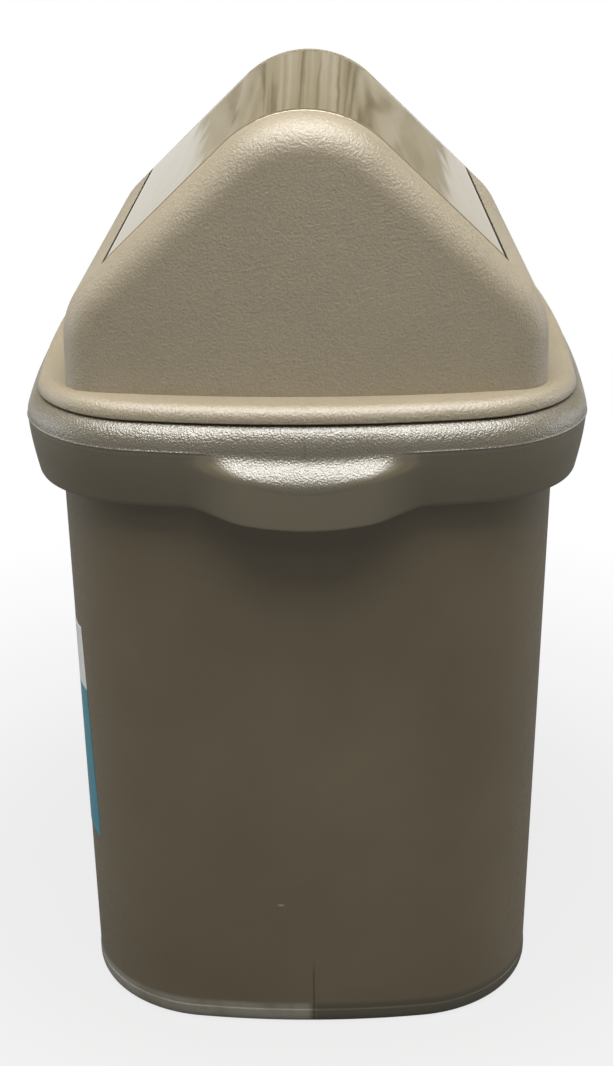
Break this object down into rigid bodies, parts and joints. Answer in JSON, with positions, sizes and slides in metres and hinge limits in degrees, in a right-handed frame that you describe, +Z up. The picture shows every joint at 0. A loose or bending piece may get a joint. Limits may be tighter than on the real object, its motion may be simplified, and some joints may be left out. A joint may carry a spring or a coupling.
{
  "type": "swing-lid trash can",
  "caption": "Rectangular tapered kitchen bin with a rolled collar, end grips, a lift-off gabled lid frame and a glossy roof flap that swings both ways.",
  "frame": {"origin": "under the middle of the base, on the surface it stands on", "axes": "+Z up, X across the narrow ends, Y along the ridge of the lid; the pictured gable end faces -Y"},
  "size_m": [0.3298, 0.414, 0.546],
  "materials": {
    "bucket_plastic": "satin taupe polypropylene, lightly grained on the collar",
    "lid_plastic": "pebble-grained champagne polypropylene",
    "flap_gloss": "metallised high gloss champagne",
    "pin_plastic": "natural acetal",
    "label_film": "smooth printed film, blank"
  },
  "bodies": {
    "bin": {"bin_body": "bucket_plastic", "side_label": "label_film"},
    "lid": {"lid_frame": "lid_plastic"},
    "flap": {"swing_flap": "flap_gloss", "pivot_pin_front": "pin_plastic", "pivot_pin_rear": "pin_plastic"}
  },
  "joints": [
    {"name": "lid_lift", "type": "slide", "parent": "bin", "child": "lid", "axis": [0, 0, 1], "range_m": [0, 0.2]},
    {"name": "flap_swing", "type": "hinge", "parent": "lid", "child": "flap", "pos_m": [0, 0, 0.518], "axis": [0, 1, 0], "range_deg": [-60, 60]}
  ]
}
